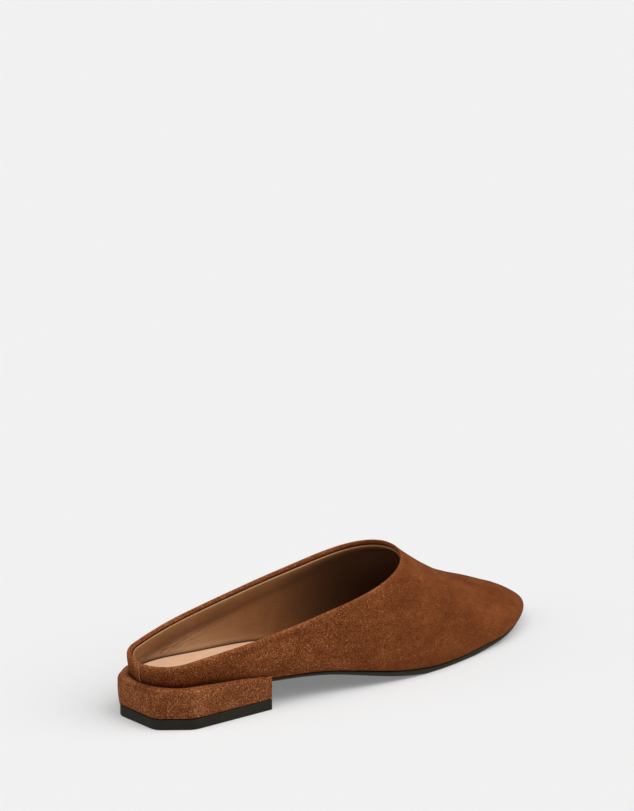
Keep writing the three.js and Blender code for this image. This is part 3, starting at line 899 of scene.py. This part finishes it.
# Where the upper meets the ledge: for each line up the wall, its place at the height of the ledge.
seat_steps = np.linspace(0, SEAT_LENGTH, SEAT_STATIONS) ** 2 / SEAT_LENGTH
seat_climbs = np.linspace(0, 1, SEAT_CLIMBS)
seat_lines = {}
for side in (-1.0, 1.0):
    column = up_the_wall(seat_steps[None, :], np.full((1, SEAT_STATIONS), side), seat_climbs[:, None])
    ledge = BLOCK_TOP + BLOCK_TILT * column[..., 0] - ear(column[..., 0]) - SEAT_DIP
    climb = np.array([np.interp(0.0, line, seat_climbs) for line in (column[..., 2] - ledge).T])
    point = up_the_wall(seat_steps, np.full(SEAT_STATIONS, side), climb, -SEAT_CLEAR)
    seat_lines[side] = (point, climb)


def bearing(points):
    """Goes from 0 at the centre back round the heel and on to the breast."""
    fan = np.arctan2(np.abs(points[:, 1]), FAN_X - points[:, 0])
    return np.where(points[:, 0] > FAN_X, np.pi / 2 + (points[:, 0] - FAN_X) / FAN_FADE, fan)


seat_side = np.where(np.arange(len(outline)) < len(half), -1.0, 1.0)
seat_s, seat_climb = np.zeros(len(outline)), np.zeros(len(outline))
for side in (-1.0, 1.0):
    point, climb = seat_lines[side]
    here = seat_side == side
    seat_s[here] = np.interp(bearing(outline[here]), bearing(point), seat_steps)
    seat_climb[here] = np.interp(seat_s[here], seat_steps, climb)
seat = up_the_wall(seat_s, seat_side, seat_climb, -SEAT_CLEAR)
drawn_y = outline[:, 1] * (1 - SEAT_DRAWN_IN / BREAST_HALF)
seat_front = (BREAST - SEAT_SETBACK) * ones
seat_floor = np.stack([seat_front, drawn_y, feather(outline[:, 0]) - SOLE_GAP], -1)
seat = np.where(inner_breast[:, None], seat_floor, seat)
block_top = np.where(inner_breast, feather(outline[:, 0]) - BREAST_TOP_GAP, block_top)

# The sides: a turned hem at the base, then flaring walls. A pale rub runs up the right rear corner, and
# the rear face is painted lighter.
from_rub = np.linalg.norm(outline - [CHAMFER_END + RUB_AHEAD, -CHAMFER_HALF], axis=1)
rub = RUB * bell(from_rub, RUB_WIDTH)
wall_tone_and_painted_light = WALLS_DARKER + REAR_PAINTED_LIGHT * (outline[:, 0] < HEEL_BACK + REAR_RUN)
wall_tone_and_painted_light += SIDES_LIGHTER * (outline[:, 0] > CHAMFER_END + SIDE_START)
leftness = np.clip(outline[:, 1] / LEFT_FADE + 0.5, 0, 1)
ledge_painted_light = LEDGE_PAINTED_SHADE + LEFT_LEDGE_PAINTED_LIGHT * leftness
cover_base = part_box("heel_block")[0].z / MM
side_low, side_high = cover_base + HEM[-1][1], block_top - block_round
heel_loops = []
heel_wear_and_painted_light = []
for grow, raised in HEM:
    hem_out = grow * np.where(inner_breast, HEM_AT_BREAST, 1) + BLOCK_OVERHANG
    heel_loops.append(heel_loop(hem_out, cover_base + raised))
    heel_wear_and_painted_light.append(HEM_DARKER * ones)
for share in np.linspace(0, 1, WALL_ROWS + 1)[1:]:
    grow = BLOCK_OVERHANG + (BLOCK_FLARE - BLOCK_OVERHANG) * (1 - (1 - share) ** 2)
    heel_loops.append(heel_loop(grow, side_low + (side_high - side_low) * share, share))
    heel_wear_and_painted_light.append(rub * np.sin(np.pi * min(share * 0.8 + 0.15, 1)) + wall_tone_and_painted_light)

# The ledge: rounded over from the sides, then nearly flat, then down into the dip by the upper. Painted
# light on its left side, painted shade on its right side and down in the dip.
outer_rim = heel_loops[-1]
way_in = seat[:, :2] - outer_rim[:, :2]
ledge_width = np.linalg.norm(way_in, axis=1)
for share in spread(LEDGE_ROWS + 1)[1:]:
    inward = ledge_width * share
    turn = np.minimum(inward, block_round)
    z = side_high + np.sqrt(np.maximum(block_round ** 2 - (block_round - turn) ** 2, 0))
    near = np.clip((inward - (ledge_width - SEAT_EDGE)) / SEAT_EDGE, 0, 1)
    z = z - np.where(inner_breast, 0, SEAT_DIP) * near ** 2
    plan = outer_rim[:, :2] + way_in * share
    heel_loops.append(np.stack([plan[:, 0], plan[:, 1], z], -1))
    heel_wear_and_painted_light.append(ledge_painted_light * np.sin(np.pi * min(share * 1.1, 1)) + SEAT_PAINTED_SHADE * near ** 4)
ledge_foot = heel_loops[-1][:, 2]
for share in SEAT_ROWS:
    below = up_the_wall(seat_s, seat_side, seat_climb * share, -SEAT_CLEAR)
    below[:, 2] = np.minimum(below[:, 2] - SEAT_SINK, ledge_foot - LEDGE_DROP)
    breast_row = seat - [SEAT_SPLAY * (1 - share), 0, 0]
    heel_loops.append(np.where(inner_breast[:, None], breast_row, below))
    heel_wear_and_painted_light.append(IN_SEAT_PAINTED_SHADE * ones)
heel_cover = piece_from_loops(
    "heel_cover", heel_loops, flat_ends=True, marks={"wear": np.array(heel_wear_and_painted_light)})

HEEL_SHADES = (dye(54, 24, 10), dye(90, 47, 23), dye(111, 61, 32), dye(133, 78, 45), dye(178, 122, 82))
heel_cover.data.materials.append(suede_finish("heel_suede", HEEL_SHADES, 1.6))
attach(heel_cover, "root")
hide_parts("heel_block")

# ---- Heel lift ---------------------------------------------------------------------------------
# The dark rubber top piece under the heel: a plain plate, cemented on, its ground edge worn soft.

LIFT_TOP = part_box("heel_lift")[1].z / MM
LIFT_PROFILE = ((-3.0, 0.0), (-0.8, 0.0), (-0.4, 0.03), (-0.18, 0.12), (-0.05, 0.28), (0.0, 0.6),
                (0.0, 2.6), (0.0, LIFT_TOP - 0.45), (-0.08, LIFT_TOP - 0.18), (-0.3, LIFT_TOP - 0.05),
                (-0.8, LIFT_TOP), (-3.0, LIFT_TOP))
lift_loops = [heel_loop(grow, z) for grow, z in LIFT_PROFILE]
lift = piece_from_loops("rubber_lift", lift_loops, flat_ends=True)
lift.data.materials.append(rubber_finish("lift_rubber", dye(20, 19, 15), dye(33, 31, 25), 7))
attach(lift, "root")
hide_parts("heel_lift")

# ---- Floor, light and camera -------------------------------------------------------------------
# A pale matte floor that runs on past the edge of the view, a big soft key light from the right of the
# toe, a second one almost overhead, a weak one from behind, and a little even light from all round.

FLOOR_HALF = 20.0
CAMERA_AT = (-678.42, -898.29, 413.69)
CAMERA_DOWN, CAMERA_HEADING = 13.054, 48.724
CAMERA_LENS, CAMERA_SENSOR = 111.374, 36.0

floor_mesh = bpy.data.meshes.new("studio_floor")
floor_mesh.from_pydata(
    [(-FLOOR_HALF, -FLOOR_HALF, 0), (FLOOR_HALF, -FLOOR_HALF, 0), (FLOOR_HALF, FLOOR_HALF, 0),
     (-FLOOR_HALF, FLOOR_HALF, 0)], [], [(0, 1, 2, 3)])
floor = bpy.data.objects.new("studio_floor", floor_mesh)
bpy.context.scene.collection.objects.link(floor)
paper = finish(
    "studio_paper", Base_Color=dye(195, 195, 195), Roughness=0.9, Specular_IOR_Level=0.0,
    Emission_Color=dye(255, 255, 255), Emission_Strength=0.2)[0]
floor.data.materials.append(paper)

world = bpy.data.worlds.new("studio")
world.use_nodes = True
world.node_tree.nodes["Background"].inputs["Color"].default_value = (1, 1, 1, 1)
world.node_tree.nodes["Background"].inputs["Strength"].default_value = 0.1
bpy.context.scene.world = world


def soft_light(name, strength, width, azimuth, elevation):
    """Light from far away, that wide seen from the shoe, from that azimuth and elevation."""
    lamp = bpy.data.lights.new(name, "SUN")
    lamp.energy, lamp.angle = strength, np.radians(width)
    holder = bpy.data.objects.new(name, lamp)
    a, e = np.radians(azimuth), np.radians(elevation)
    to_light = Vector((np.cos(a) * np.cos(e), np.sin(a) * np.cos(e), np.sin(e)))
    holder.rotation_euler = to_light.to_track_quat("Z", "Y").to_euler()
    bpy.context.scene.collection.objects.link(holder)


soft_light("key_softbox", 1.84, 60, -50, 45)
soft_light("top_softbox", 1.8, 60, -120, 74)
soft_light("back_softbox", 1.0, 60, 170, 35)

camera_data = bpy.data.cameras.new("camera")
camera_data.lens, camera_data.sensor_width = CAMERA_LENS, CAMERA_SENSOR
camera = bpy.data.objects.new("camera", camera_data)
camera.location = Vector(CAMERA_AT) * MM
camera.rotation_euler = np.radians((90 - CAMERA_DOWN, 0, CAMERA_HEADING - 90))
bpy.context.scene.collection.objects.link(camera)
bpy.context.scene.camera = camera
bpy.context.scene.view_settings.view_transform = "Standard"
